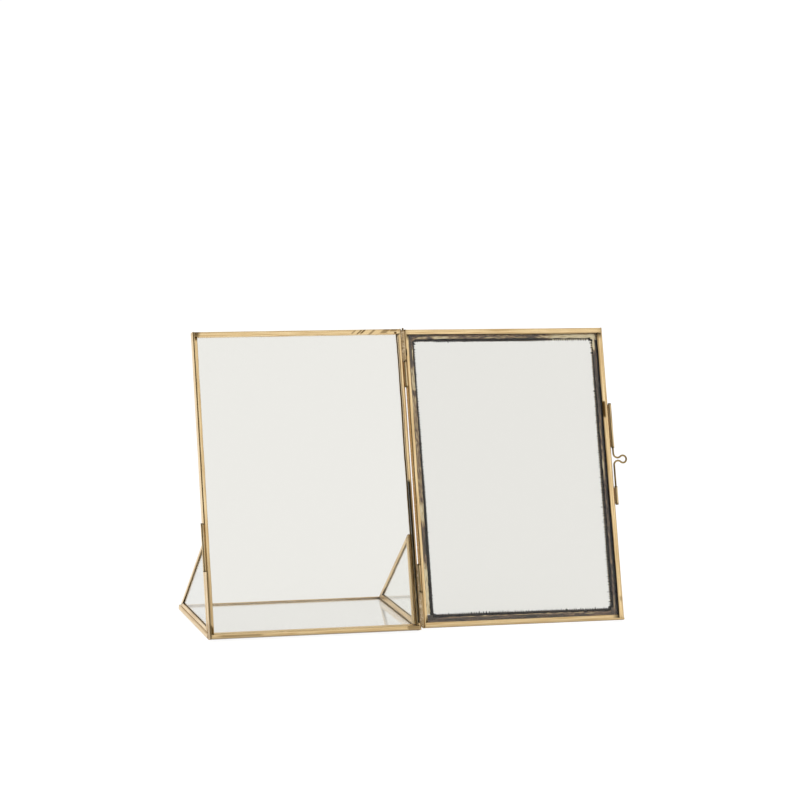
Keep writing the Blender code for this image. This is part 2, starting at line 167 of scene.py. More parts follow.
brassLook = {
    "bright": "#F4DBAC",
    "warm": "#E6C793",
    "worn": "#C8A470",
    "stain": "#6B5029",
    "black": "#17130B",
    "solder": [(0.32, "#78643F"), (0.43, "#B69A6E"), (0.55, "#DCC198"), (0.66, "#F6EBD4")],
    "solderGrain": 1.1,  # mm
    "roughness": (0.20, 0.36),
    "streak": (26.0, 0.55),  # mm along and across; real draw marks are finer than a render can show
    "blotch": 17.0,
}


def makeBrass(name, look):
    # Antiqued brass strip, drawn and hand-rubbed: warm and bright where it was rubbed back,
    # with long faint draw marks, brown where flux and patina were left near the joints, and grey
    # and sparkling where the tin-lead solder ran over it. The brown and black marks also carry
    # painted shade: under the bottom rails, and on the lower right stile's face and return.
    material, tree = newMaterial(name)
    place, stain, black, solder = readStrip(tree, "stain", "black", "solder")
    streaks = drawnNoise(tree, place, look["streak"], {"Roughness": 0.55})
    room = addNode(tree, "TexCoord").outputs["Object"]
    blotches = addNode(
        tree, "TexNoise", {"Scale": 1000 / look["blotch"], "Detail": 4.0, "Roughness": 0.6}, {0: room})
    toned = addNode(
        tree, "ValToRGB",
        {"ramp": [(0.34, look["worn"]), (0.47, look["warm"]), (0.60, look["bright"])]}, {0: streaks})
    blotchShare = addNode(tree, "MapRange", {1: 0.45, 2: 0.72, 4: 0.55}, {0: blotches})
    # Stains, black marks and the painted shade break up along the draw marks.
    broken = addNode(tree, "Math", {"operation": "MULTIPLY_ADD", 1: 1.1, 2: 0.45}, {0: streaks})
    stainAndShadeShare, blackShare = (
        addNode(tree, "Math", {"operation": "MULTIPLY", "use_clamp": True}, {0: broken, 1: amount})
        for amount in (stain, black))
    for share, key in ((blotchShare, "warm"), (stainAndShadeShare, "stain"), (blackShare, "black")):
        toned = addNode(
            tree, "Mix", {"data_type": "RGBA", 7: linearColour(look[key])}, {0: share, 6: toned}).outputs[2]
    lumps = addNode(
        tree, "TexNoise",
        {"Scale": 1000 / look["solderGrain"], "Detail": 3.0, "Roughness": 0.65, "Distortion": 0.4}, {0: room})
    tin = addNode(tree, "ValToRGB", {"ramp": look["solder"]}, {0: lumps})
    spread = addNode(tree, "Math", {"operation": "MULTIPLY_ADD", 1: 2.4, 2: -0.2}, {0: lumps})
    tinShare = addNode(tree, "Math", {"operation": "MULTIPLY", "use_clamp": True}, {0: spread, 1: solder})
    colour = addNode(tree, "Mix", {"data_type": "RGBA"}, {0: tinShare, 6: toned, 7: tin})
    # The solder's crust hides most of the metal, and it, the stains and the painted shade are duller.
    metal = addNode(tree, "MapRange", {3: 1.0, 4: 0.3}, {0: tinShare})
    shiny, matt = look["roughness"]
    gloss = addNode(tree, "MapRange", {1: 0.3, 2: 0.7, 3: matt, 4: shiny}, {0: streaks})
    stainAndShadeDull = addNode(tree, "Math", {"operation": "MULTIPLY_ADD", 1: 0.25}, {0: stainAndShadeShare, 2: gloss})
    dull = addNode(tree, "Math", {"operation": "MULTIPLY_ADD", 1: 0.3}, {0: tinShare, 2: stainAndShadeDull})
    bump = addNode(tree, "Bump", {"Strength": 0.25, "Distance": 0.00004}, {"Height": streaks})
    lumpy = addNode(
        tree, "Bump", {"Distance": 0.00012}, {"Height": lumps, "Strength": tinShare, "Normal": bump})
    shader = addNode(
        tree, "BsdfPrincipled", {},
        {"Base Color": colour.outputs[2], "Metallic": metal, "Roughness": dull, "Normal": lumpy})
    addNode(tree, "OutputMaterial", links={0: shader})
    return material


bandLook = {
    "ground": [(0.32, "#3B3A36"), (0.45, "#625E56"), (0.54, "#826F61"), (0.66, "#A88A75")],
    "bare": [(0.25, "#8F7060"), (0.50, "#BE9B7E"), (0.75, "#E6CEA0"), (1.0, "#FFF1D0")],
    # The colour of the painted shadow by the rim.
    "black": "#12110F",
    "streak": (17.0, 1.0),  # length and width, in mm
    "speck": (4.0, 0.7),
}


def makeBand(name, look):
    # The strip's inner face, seen through the glass: tinned and blackened by patina, brown and
    # slate in long streaks, with bare brass left where the patina didn't take.
    material, tree = newMaterial(name)
    place, rim, gilt = readStrip(tree, "rim", "gilt")
    streaks = drawnNoise(tree, place, look["streak"], {"Roughness": 0.6})
    specks = drawnNoise(tree, place, look["speck"], {"Roughness": 0.6, "Distortion": 0.6})
    ground = addNode(tree, "ValToRGB", {"ramp": look["ground"]}, {0: streaks})
    # How bare it is: the part's own marks plus the specks' swing to either side.
    swing = addNode(tree, "Math", {"operation": "MULTIPLY_ADD", 1: 2.2, 2: -1.1}, {0: specks})
    bareness = addNode(tree, "Math", {"operation": "ADD"}, {0: gilt, 1: swing})
    bare = addNode(tree, "ValToRGB", {"ramp": look["bare"]}, {0: bareness})
    share = addNode(tree, "MapRange", {1: 0.10, 2: 0.50}, {0: bareness})
    metal = addNode(tree, "MapRange", {1: 0.45, 2: 0.9}, {0: bareness})
    toned = addNode(tree, "Mix", {"data_type": "RGBA"}, {0: share, 6: ground, 7: bare})
    # Painted shadow: the band turns black towards the rim, whose lip shades it, with the edge broken by the
    # specks.
    ragged = addNode(tree, "Math", {"operation": "MULTIPLY_ADD", 1: 0.9}, {0: specks, 2: rim})
    shadow = addNode(tree, "MapRange", {1: 0.35, 2: 0.75, 3: 0.95, 4: 0.0}, {0: ragged})
    colour = addNode(
        tree, "Mix", {"data_type": "RGBA", 7: linearColour(look["black"])},
        {0: shadow, 6: toned.outputs[2]})
    shader = addNode(
        tree, "BsdfPrincipled", {"Roughness": 0.42, "Specular IOR Level": 0.3},
        {"Base Color": colour.outputs[2], "Metallic": metal})
    addNode(tree, "OutputMaterial", links={0: shader})
    return material


residueLook = {"black": "#100E0B", "brown": "#33261A", "grain": 1.4}


def makeResidueMetal(name, look):
    # Flux and patina left along the lip: a dry black crust, brown where it is thin.
    material, tree = newMaterial(name)
    room = addNode(tree, "TexCoord").outputs["Object"]
    grains = addNode(
        tree, "TexNoise", {"Scale": 1000 / look["grain"], "Detail": 3.0, "Roughness": 0.7}, {0: room})
    tone = addNode(tree, "ValToRGB", {"ramp": [(0.45, look["black"]), (0.68, look["brown"])]}, {0: grains})
    bump = addNode(tree, "Bump", {"Strength": 0.6, "Distance": 0.0001}, {"Height": grains})
    shader = addNode(
        tree, "BsdfPrincipled", {"Roughness": 0.8, "Specular IOR Level": 0.05},
        {"Base Color": tone, "Normal": bump})
    addNode(tree, "OutputMaterial", links={0: shader})
    return material


glassLook = {
    "waves": 45.0,  # mm
    # Tint and gloss: the two big panes are lit so as not to mirror the room.
    "panes": {
        # The tints hold painted light and shade besides the glass's own colour: the base and right side panes
        # are paler and the left side pane darker, for the light each one gets.
        "pane_glass": ("#E5E4DF", 0.46),
        "door_glass": ("#E0DFDA", 0.46),
        "base_glass": ("#FFFFFF", 1.0),
        "side_glass_left": ("#D9D9D4", 1.0),
        "side_glass_right": ("#FAFBF9", 1.0),
    },
}


def makeGlass(name, look, tintAndLighting, gloss):
    # Soda-lime float glass, 2 mm: clear with a faint grey-green, and barely wavy in reflections.
    material, tree = newMaterial(name)
    room = addNode(tree, "TexCoord").outputs["Object"]
    waves = addNode(tree, "TexNoise", {"Scale": 1000 / look["waves"], "Detail": 1.0}, {0: room})
    bump = addNode(tree, "Bump", {"Strength": 0.05, "Distance": 0.0001}, {"Height": waves})
    # Its colour is the pane's tint, with the painted light and shade set per pane.
    clear = addNode(
        tree, "BsdfPrincipled",
        {"Base Color": linearColour(tintAndLighting), "Roughness": 0.0, "IOR": 1.52, "Transmission Weight": 1.0,
         "Specular Tint": (gloss, gloss, gloss, 1.0)},
        {"Normal": bump})
    # Lamps shine through it, as they do through real glass.
    through = addNode(tree, "BsdfTransparent", {"Color": (0.93, 0.94, 0.92, 1.0)})
    shader = addNode(tree, "MixShader", links={0: raysOf(tree, "Shadow"), 1: clear, 2: through})
    addNode(tree, "OutputMaterial", links={0: shader})
    return material


brass = makeBrass("antiqued brass strip", brassLook)
tubeBrass = makeBrass("rolled brass tube", {
    **brassLook, "bright": "#FAE6BC", "warm": "#D9BA86", "worn": "#94784C", "streak": (16.0, 0.5),
    "roughness": (0.34, 0.48)})
wireBrass = makeBrass("dark antiqued brass wire", {
    **brassLook, "bright": "#B99E6C", "warm": "#957C4E", "worn": "#5E4C2C", "streak": (5.0, 0.55),
    "blotch": 4.0})
solderMetal = makeBrass("patinated tin-lead solder", {
    **brassLook, "bright": "#EADFC8", "warm": "#BBA888", "worn": "#7F6E50", "streak": (1.6, 0.9),
    "blotch": 1.5, "roughness": (0.3, 0.5)})
bandMetal = makeBand("blackened brass under the glass", bandLook)
residue = makeResidueMetal("black flux residue", residueLook)
print("materials made")


# Making meshes

def wander(t, seed, longest, shortest, count=6):
    # A smooth hand-made wander between about -1 and 1: a sum of sine waves of t, whose lengths
    # run from longest to shortest, the shorter ones weaker, each with its own seeded phase.
    rng = np.random.default_rng(seed)
    lengths = np.geomspace(longest, shortest, count)
    strengths = (lengths / longest) ** 0.5
    phases = rng.uniform(0, 2 * math.pi, count)
    waves = np.sin(2 * math.pi * np.asarray(t)[..., None] / lengths + phases)
    return (waves * strengths).sum(-1) / np.sqrt((strengths ** 2).sum()) / 1.4


def gridFaces(rows, columns):
    # Quads between each row and the next, right round the columns.
    row, column = np.meshgrid(np.arange(rows - 1), np.arange(columns), indexing="ij")
    right = (column + 1) % columns
    quads = np.stack([row * columns + column, row * columns + right,
                      (row + 1) * columns + right, (row + 1) * columns + column], -1)
    return quads.reshape(-1, 4)


def fullTurn(count):
    return np.linspace(0, 2 * math.pi, count, endpoint=False)


def addObject(name, data):
    added = bpy.data.objects.new(name, data)
    bpy.context.scene.collection.objects.link(added)
    return added


def makePiece(
        name, place, body, points, values, materials, nodes=(), faces=None, metals=None, sharp=38):
    # Points, in the part's own millimetres, lie in rows round an outline; values are one number per
    # point for the materials. Only a strip brings its own faces, and which metal each one has.
    if faces is None:
        faces = gridFaces(*points.shape[:2])
    mesh = bpy.data.meshes.new(name)
    mesh.from_pydata(toRoom(place, points.reshape(-1, 3)).tolist(), [], faces.tolist())
    for key, numbers in values.items():
        data = np.broadcast_to(numbers, points.shape[:-1]).reshape(-1).astype(np.float32)
        mesh.attributes.new(key, "FLOAT", "POINT").data.foreach_set("value", data)
    for material in materials:
        mesh.materials.append(material)
    if metals is not None:
        mesh.polygons.foreach_set("material_index", metals.astype(np.int32))
    bm = bmesh.new()
    bm.from_mesh(mesh)
    bmesh.ops.remove_doubles(bm, verts=bm.verts, dist=2e-6)
    bmesh.ops.dissolve_degenerate(bm, edges=bm.edges, dist=1e-6)
    bmesh.ops.recalc_face_normals(bm, faces=bm.faces)
    bm.to_mesh(mesh)
    bm.free()
    mesh.shade_smooth()
    mesh.set_sharp_from_angle(angle=math.radians(sharp))
    piece = addObject(name, mesh)
    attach(piece, body)
    if nodes:
        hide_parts(*nodes)


# Brass strip, bent round the glass

def bentSection(corners, radii, steps=7):
    # Straight runs joined by arcs. Each arc turns about a centre that lies one radius in from both
    # runs; the inner line keeps one sheet's thickness inside the outer one.
    sheet = sizes["sheet"]
    corners = np.array(corners, float)
    runs = np.diff(corners, axis=0)
    runs /= np.linalg.norm(runs, axis=1)[:, None]
    normals = np.stack([-runs[:, 1], runs[:, 0]], 1)
    outer = [corners[:1]]
    inner = [corners[:1] + normals[:1] * sheet]
    for i, radius in enumerate(radii):
        turn = math.acos(np.clip(runs[i] @ runs[i + 1], -1, 1))
        centre = corners[i + 1] - runs[i] * radius * math.tan(turn / 2) + normals[i] * radius
        angle = np.linspace(0, turn, steps + 1)[:, None]
        heading = normals[i] * np.cos(angle) - runs[i] * np.sin(angle)
        outer.append(centre - heading * radius)
        inner.append(centre - heading * (radius - sheet))
    outer.append(corners[-1:])
    inner.append(corners[-1:] + normals[-1:] * sheet)
    return np.concatenate(outer), np.concatenate(inner)


def divideSection(outer, inner, cut, gap=0.45):
    # Straight runs get points at most gap apart, and two at one spot where a run crosses the cut,
    # so that the lips beyond it can end short of the web.
    newOuter, newInner, lip = [], [], []
    for i in range(len(outer) - 1):
        length = np.linalg.norm(outer[i + 1] - outer[i])
        shares = list(np.linspace(0, 1, max(1, math.ceil(length / gap)) + 1)[:-1])
        first, last = outer[i][0], outer[i + 1][0]
        beyond = [max(first, last) > cut + 1e-6 if abs(first - last) < 1e-6 else None] * len(shares)
        if (first - cut) * (last - cut) < 0:
            share = (cut - first) / (last - first)
            shares = sorted([s for s in shares if abs(s - share) > 0.02] + [share, share])
            beyond = [None] * len(shares)
            at = shares.index(share)
            beyond[at], beyond[at + 1] = first > cut, last > cut
        for s, flag in zip(shares, beyond):
            spot = outer[i] + (outer[i + 1] - outer[i]) * s
            newOuter.append(spot)
            newInner.append(inner[i] + (inner[i + 1] - inner[i]) * s)
            lip.append(bool(spot[0] > cut) if flag is None else flag)
    newOuter.append(outer[-1])
    newInner.append(inner[-1])
    lip.append(bool(outer[-1][0] > cut))
    return np.array(newOuter), np.array(newInner), np.array(lip)


def cameSection(frontLip, backLip):
    depth = sizes["cameDepth"]
    return bentSection([(backLip, depth), (0, depth), (0, 0), (frontLip, 0)], [sizes["fold"], sizes["bend"]])


def mouldingSection(faceWidth, rearLip):
    depth = sizes["paneDepth"]
    corners = [(rearLip, depth), (0, depth), (0, 0), (faceWidth, 0), (faceWidth, sizes["paneRecess"])]
    return bentSection(corners, [sizes["fold"], sizes["bend"], sizes["fold"]])


def window(values, low, high, soft):
    # 1 between low and high, falling to 0 over the soft distance outside them.
    return np.clip(np.minimum(values - low, high - values) / soft + 1, 0, 1)


# By node, each mark's kind, its reach along the strip, inwards and in depth, its amount, how softly
# it ends along the strip, and how much it slants.
onFace, lining, anywhere = (-1, 1), (2, 4), (-1, 99)
stripMarks = {
    "pane_stile_left": [
        ("stain", (186.5, 192), (1.3, 3.0), (-1, 3.5), 1.0, 1.5, 0),
        ("stain", (2.5, 9.5), (1.0, 2.2), onFace, 1.0, 1.5, 1.5),
        ("stain", (-2, 36), (0.0, 1.5), onFace, 0.4, 8.0, 0),
        ("stain", (-2, 44), anywhere, onFace, 0.2, 14.0, 0),
        ("stain", (-2, 8), (-1, 0.25), (0.6, 6.5), 0.45, 4.0, 0),
    ],
    "pane_stile_right": [
        # Painted shade: these two blacken the face and return of the stile's lower part, beside the hinge.
        ("black", (4.5, 50.3), (0.85, 3.0), (-1, 4.0), 1.6, 0.3, 0),
        ("black", (51.2, 92), (0.85, 3.0), (-1, 4.0), 1.6, 3.0, 0),
        ("black", (187.0, 188.2), (1.9, 2.8), onFace, 0.6, 0.4, 0),
        ("black", (70, 200), (2.0, 3.0), (2.3, 3.5), 1.5, 20.0, 0),
        ("stain", (70, 200), (1.8, 3.0), (1.8, 3.5), 1.2, 20.0, 0),
    ],
    "pane_rail_top": [
        ("stain", (-2, 3.6), (-1, 4), onFace, 0.8, 2.2, 0.4),
        ("black", (0.8, 2.4), (0.4, 1.6), onFace, 0.3, 0.8, 0),
        ("stain", (105.3, 105.9), (0.7, 2.6), onFace, 0.6, 0.5, 1.2),
        ("stain", (109.3, 109.8), (0.5, 3.0), onFace, 1.0, 0.4, 1.2),
        ("stain", (111.2, 112.0), (0.3, 2.6), onFace, 1.1, 0.4, 1.2),
        ("stain", (117.3, 118.6), (0.5, 3.4), onFace, 0.55, 0.6, 1.2),
        ("stain", (124.5, 127.5), (-1, 2.6), onFace, 0.55, 1.2, 1.2),
        ("stain", (129.0, 132.6), (-1, 1.6), onFace, 0.55, 0.8, 0.8),
        ("stain", (130.6, 131.6), (2.0, 3.0), onFace, 1.1, 0.5, 0),
    ],
    "pane_rail_bottom": [
        # Painted shade: the underside web is blackened, for the shadowed floor it mirrors.
        ("black", (-5, 140), (-1, 0.35), (0.5, 7), 0.75, 1.5, 0),
        ("stain", (8, 31), (0.6, 1.9), onFace, 0.5, 6.0, 0),
        ("stain", (127, 140), anywhere, onFace, 0.6, 2.0, 0),
        # Painted shade: darker where the rolled front edge turns under.
        ("stain", (-5, 140), (-1, 0.8), (-1, 1.2), 0.4, 1.5, 0),
        ("stain", (-5, 140), anywhere, onFace, 0.1, 1.5, 0),
    ],
    "base_came_left": [
        ("stain", (-5, 90), anywhere, anywhere, 0.08, 1.5, 0),
        ("stain", (-5, 90), (-1, 0.5), (-1, 0.6), 0.3, 1.5, 0),
        ("stain", (-5, 90), (-1, 0.5), (3.0, 4), 0.4, 1.5, 0),
    ],
    "side_came_foot_left": [
        ("stain", (-5, 90), anywhere, anywhere, 0.06, 1.5, 0),
        ("stain", (-5, 90), (-1, 0.5), (-1, 0.6), 0.3, 1.5, 0),
    ],
    "door_stile_hinge": [
        ("black", (173.0, 176.5), (0.2, 0.8), onFace, 0.9, 0.8, 0),
        ("stain", (166, 189), (-1, 0.6), onFace, 0.25, 3.0, 0),
        ("solder", (-5, 200), (-1, 0.3), (0.6, 4), 0.6, 1.5, 0),
        ("gilt", (3, 36), (2.8, 6.0), lining, 1.0, 11.0, 0),
        ("gilt", (68, 76), (3.0, 5.8), lining, 0.95, 6.6, 0),
        ("gilt", (78, 124), (3.0, 6.2), lining, 0.5, 13.2, 0),
        ("gilt", (126, 146), (2.8, 6.2), lining, 0.55, 8.8, 0),
        ("gilt", (152, 163), (3.6, 5.8), lining, 0.8, 5.5, 0),
        ("gilt", (170, 177), (4.8, 5.8), lining, 0.6, 5.5, 0),
    ],
    "door_stile_latch": [
        ("stain", (131.5, 140.5), (2.0, 4.0), onFace, 1.3, 1.2, 0),
        ("black", (132.5, 140.0), (3.0, 4.0), onFace, 0.6, 1.2, 0),
        ("stain", (12.5, 14.5), (0.8, 2.0), onFace, 0.4, 1.0, 0),
        ("gilt", (177, 187), (5.2, 8.2), lining, 1.0, 6.0, 0),
        ("gilt", (93, 126), (5.0, 6.6), lining, 0.5, 13.2, 0),
        ("gilt", (96, 102), (5.2, 6.4), lining, 1.0, 4.4, 0),
        ("gilt", (4, 92), (5.0, 6.0), lining, 0.25, 8.8, 0),
        ("gilt", (9, 15), (5.0, 6.4), lining, 0.55, 4.4, 0),
    ],
    "door_rail_top": [
        ("gilt", (7, 14), (4.6, 6.6), lining, 0.65, 3.3, 0),
        ("gilt", (21, 30), (4.4, 6.6), lining, 0.85, 4.4, 0),
        ("gilt", (28, 80), (3.8, 6.4), lining, 0.48, 8.8, 0),
        ("gilt", (92, 99), (4.2, 6.6), lining, 0.7, 4.4, 0),
        ("gilt", (102, 129), (3.8, 7.6), lining, 1.15, 8.0, 0),
    ],
    "door_rail_bottom": [
        ("gilt", (20, 128), (5.8, 7.0), lining, 0.55, 13.2, 0),
        ("gilt", (96, 126), (4.8, 7.0), lining, 0.4, 13.2, 0),
        # Painted shade: the underside web is darkened, as on the pane's bottom rail.
        ("stain", (-5, 140), (-1, 0.35), (0.5, 4), 1.2, 1.5, 0),
        ("stain", (-5, 140), (0.2, 4.0), onFace, 0.12, 1.5, 0),
        ("stain", (-5, 120), (-1, 1.0), onFace, 0.35, 20.0, 0),
    ],
}

stripLook = {
    "pastBend": 0.1,  # mm from the rolled edge to where the lips can end short
    "frontShare": 0.55,  # of the depth, so that a return counts as front
    "over": 0.94,  # an end that lies over the next strip stops this far from the corner
    "copeGap": 0.04,
    "mitreGap": 0.06,
    "nearEnds": (0.12, 0.3, 0.5, 1.0),  # extra rows, where the marks of the joint change quickly
    "wander": 0.08,  # of a lip's cut edge
    "wanderWaves": (38.0, 3.0),  # its longest and shortest wave, in mm
    "dents": 0.006,
    "dentWaves": (45.0, 7.0),
    "tuckDepth": 2.5,
    "endStain": (0.45, 3.0),  # amount, and reach in mm
    "stainWaves": (9.0, 1.5),
    "edgeStain": (0.12, 0.2),  # width and softness
    "endBlack": (1.6, 0.22),
    "coped": (1.2, 0.25),  # an end set back by more has a full black line, the others this share of it
    "markEdge": 0.25,
    "liningFrom": 0.6,
    "patternSteps": (211.0, 13.0),  # between strips, so that no two share their streaks
}
seedCount = 0


def makeStrip(node, place, body, start, end, inward, back, section, ends, banded=None,
              bulge=(0.0, 1.0, 1.0), drift=None, tuck=0.0, edgeStain=0.5, rowGap=1.2):
    # A section carried in a straight line from start to end. Each column of the section has its own
    # two ends, so a lip can stop short of the web, and a mitred end slants. A banded strip shows its
    # inner face through the glass, and banded is how far the painted shadow at its rim reaches. The
    # web bulges outwards as a bell curve of the depth: by so much, at this depth, over this width. Its
    # lips are cut by hand, and drift gives how much wider the front and the back one are at points
    # along it. A return leans under its face by tuck.
    global seedCount
    seedCount += 1
    seed, look = seedCount, stripLook
    start, end, inward, back = (np.array(v, float) for v in (start, end, inward, back))
    length = np.linalg.norm(end - start)
    direction = (end - start) / length
    cut = sizes["bend"] + look["pastBend"]
    outer, inner, lip = divideSection(*section, cut)
    loop = np.concatenate([outer, inner[::-1]])
    lips = np.concatenate([lip, lip[::-1]])
    isOuter = np.arange(len(loop)) < len(outer)
    isFront = loop[:, 1] < look["frontShare"] * loop[:, 1].max()
    steps = np.linalg.norm(np.diff(loop, axis=0), axis=1)
    arcLength = np.concatenate([[0], np.cumsum(steps)])
    setbacks = []
    for spec in ends:
        if "mitre" in spec:
            setbacks.append(look["mitreGap"] + loop[:, 0] / math.tan(spec["mitre"] / 2))
        else:
            lipSetback = np.where(isFront, spec["front"], spec["back"])
            setbacks.append(np.where(lips, lipSetback, spec["web"]))
    first, last = setbacks[0], length - setbacks[1]
    levels = [np.unique(np.round(s, 4)) for s in setbacks]
    # A mitre has a level for every column, and needs a row at the furthest only.
    levels = [s if len(s) <= 3 else s[-1:] for s in levels]
    low, high = levels[0].max(), length - levels[1].max()
    nearEnds = np.array(look["nearEnds"])
    rows = np.unique(np.round(np.concatenate([
        [0.0, length], levels[0], length - levels[1], low + nearEnds, high - nearEnds,
        np.linspace(low, high, max(2, round((high - low) / rowGap)))]), 4))
    z = np.clip(rows[:, None], first, last)
    a = np.broadcast_to(loop[:, 0], z.shape).copy()
    d = np.broadcast_to(loop[:, 1], z.shape).copy()
    reach = np.where(isFront, loop[isFront, 0].max(), loop[~isFront, 0].max())
    swell, swellDepth, swellWidth = bulge
    bell = np.exp(-((loop[:, 1] - swellDepth) / swellWidth) ** 2)
    a -= swell * bell * np.clip(1 - loop[:, 0] / sizes["bend"], 0, 1)
    share = np.clip((loop[:, 0] - cut) / (reach - cut), 0, 1)
    a += share * look["wander"] * wander(z + 37 * seed, seed, *look["wanderWaves"])
    if drift:
        a += share * np.where(isFront, *(np.interp(z, *zip(*line)) for line in drift))
    a -= tuck * share * isFront * np.clip((loop[:, 1] - sizes["fold"]) / look["tuckDepth"], 0, 1)
    dents = np.clip(1 + wander(z, seed + 100, *look["dentWaves"]), 0, 2)
    d += np.where(isFront, 1, -1) * look["dents"] * dents
    points = start + a[..., None] * inward + d[..., None] * back + z[..., None] * direction

    nearEnd = np.minimum(z - first, last - z)
    amount, reached = look["endStain"]
    patches = 0.6 + 0.6 * wander(z * 3 + a * 5, seed + 7, *look["stainWaves"])
    stain = amount * np.clip(1 - nearEnd / reached, 0, 1) ** 2 * patches
    width, soft = look["edgeStain"]
    stain = np.maximum(stain, edgeStain * window(a, reach - width, 99, soft) * isFront)
    amount, reached = look["endBlack"]
    atStart, atEnd = (np.clip(amount - gap / reached, 0, 1) for gap in (z - first, last - z))
    setback, light = look["coped"]
    lapped = [1.0 if spec.get("front", 0) > setback else light for spec in ends]
    alongStep, acrossStep = look["patternSteps"]
    values = {
        "along": z + alongStep * seed,
        "across": np.broadcast_to(arcLength, z.shape) + acrossStep * seed,
        "stain": stain,
        "black": np.maximum(atStart * lapped[0], atEnd * lapped[1]) * lips,
        "gilt": np.zeros_like(z),
        "solder": np.zeros_like(z),
    }
    for kind, along, across, deep, amount, soft, slant in stripMarks.get(node, ()):
        amount = amount * window(z + slant * a, *along, soft) * window(a, *across, look["markEdge"])
        amount = amount * window(d, *deep, look["markEdge"]) * (isOuter | (kind == "gilt"))
        values[kind] = np.maximum(values[kind], amount)
    for kind in ("stain", "black", "gilt", "solder"):
        values[kind] = np.clip(values[kind], 0, 1)
    values["rim"] = a - loop[isFront, 0].max() - (banded or 0)

    columns = len(loop)
    ring = np.arange(len(outer) - 1)
    cap = np.stack([ring, ring + 1, columns - 2 - ring, columns - 1 - ring], 1)
    lastRow = (len(rows) - 1) * columns
    faces = np.concatenate([gridFaces(len(rows), columns), cap, (cap + lastRow)[:, ::-1]])
    metals = np.zeros(len(faces))
    if banded is not None:
        backing = ~isOuter & ~isFront & (loop[:, 0] > look["liningFrom"])
        both = backing & np.roll(backing, -1)
        metals[:lastRow] = np.tile(both, len(rows) - 1)
    makePiece(
        f"{node}_strip", place, body, points, values, [brass, bandMetal], [node], faces, metals)


def copedEnd(front, back):
    gap = stripLook["copeGap"]
    return {"web": 0.0, "front": front + gap, "back": back + gap}


overEnd = dict.fromkeys(("web", "front", "back"), stripLook["over"])


paneLook = {
    "face": {"left": 2.8, "right": 2.8, "bottom": 2.8, "top": 3.3},
    "rearLip": 2.4,
    "bulge": {"left": (0.12, 2.0, 1.2), "right": (0.46, 1.4, 0.6)},
    "tuck": {"left": 0.0, "right": 0.3},
    "drift": {
        "left": None,
        "right": (
            [(0, -1.2), (21, -1.25), (41, -1.15), (62, -0.9), (86, -0.9), (118, -0.5), (148, -0.8),
             (160, -0.55), (182, -0.45), (190, 0.0)],
            [(0, -0.6), (41, -0.55), (86, -0.45), (118, -0.3), (148, -0.5), (182, -0.35), (190, 0.0)]),
    },
}


def buildPane():
    look = paneLook
    face = look["face"]
    sections = {side: mouldingSection(width, look["rearLip"]) for side, width in face.items()}
    height, front = sizes["paneHeight"], -sizes["paneDepth"]
    coped = [copedEnd(face[side], look["rearLip"]) for side in ("bottom", "top")]
    for side, x, inward in (("left", -halfWidth, 1), ("right", halfWidth, -1)):
        makeStrip(
            f"pane_stile_{side}", leanPlace, "frame", (x, front, 0), (x, front, height), (inward, 0, 0),
            (0, 1, 0), sections[side], coped, bulge=look["bulge"][side], drift=look["drift"][side],
            tuck=look["tuck"][side], edgeStain=0.0, rowGap=0.8)
    for side, z, inward in (("bottom", 0, 1), ("top", height, -1)):
        makeStrip(
            f"pane_rail_{side}", leanPlace, "frame", (-halfWidth, front, z), (halfWidth, front, z),
            (0, 0, inward), (0, 1, 0), sections[side], [overEnd] * 2, edgeStain=0.0, rowGap=0.35)


def buildBase():
    lip, depth = sizes["baseLip"], sizes["cameDepth"]
    section = cameSection(lip, lip)
    front, back = -lip / 2, sizes["baseDepth"] - lip / 2
    coped, over = [copedEnd(lip, lip)] * 2, [overEnd] * 2
    cames = (
        ("left", (-halfWidth, front), (-halfWidth, back), (1, 0, 0), coped),
        ("right", (halfWidth, front), (halfWidth, back), (-1, 0, 0), coped),
        ("front", (-halfWidth, front), (halfWidth, front), (0, 1, 0), over),
        ("back", (-halfWidth, back), (halfWidth, back), (0, -1, 0), over))
    for side, start, end, inward, ends in cames:
        makeStrip(
            f"base_came_{side}", roomPlace, "frame", (*start, depth), (*end, depth), inward, (0, 0, -1),
            section, ends)


sideLook = {"foot": 3.2, "rear": 2.6, "front": 2.6}  # lips, in mm


def sideCorners():
    # Front foot, rear foot and apex of the triangle behind the leaning pane.
    foot = sizes["cameDepth"] + sizes["seam"]
    behind = footY + sizes["seam"] / math.cos(lean)
    slope = math.tan(lean)
    rear = sizes["baseDepth"] - sizes["baseLip"] / 2 - sizes["sideRearMargin"]
    apex = sizes["sideHeight"]
    return np.array([(behind + foot * slope, foot), (rear, foot), (behind + apex * slope, apex)])


def buildSides():
    corners = sideCorners()
    sections = {part: cameSection(lip, lip) for part, lip in sideLook.items()}
    toNext = np.roll(corners, -1, axis=0) - corners
    toLast = np.roll(corners, 1, axis=0) - corners
    cosines = (toNext * toLast).sum(1) / np.linalg.norm(toNext, axis=1) / np.linalg.norm(toLast, axis=1)
    angles = np.arccos(cosines)
    for side, x, depthSign in (("left", -halfWidth, 1), ("right", halfWidth, -1)):
        for i, (part, section) in enumerate(sections.items()):
            first, second = corners[i], corners[(i + 1) % 3]
            along = (second - first) / np.linalg.norm(second - first)
            inward = (0, -along[1], along[0])
            ends = [{"mitre": angles[i]}, {"mitre": angles[(i + 1) % 3]}]
            makeStrip(
                f"side_came_{part}_{side}", roomPlace, "frame", (x, *first), (x, *second), inward,
                (depthSign, 0, 0), section, ends)


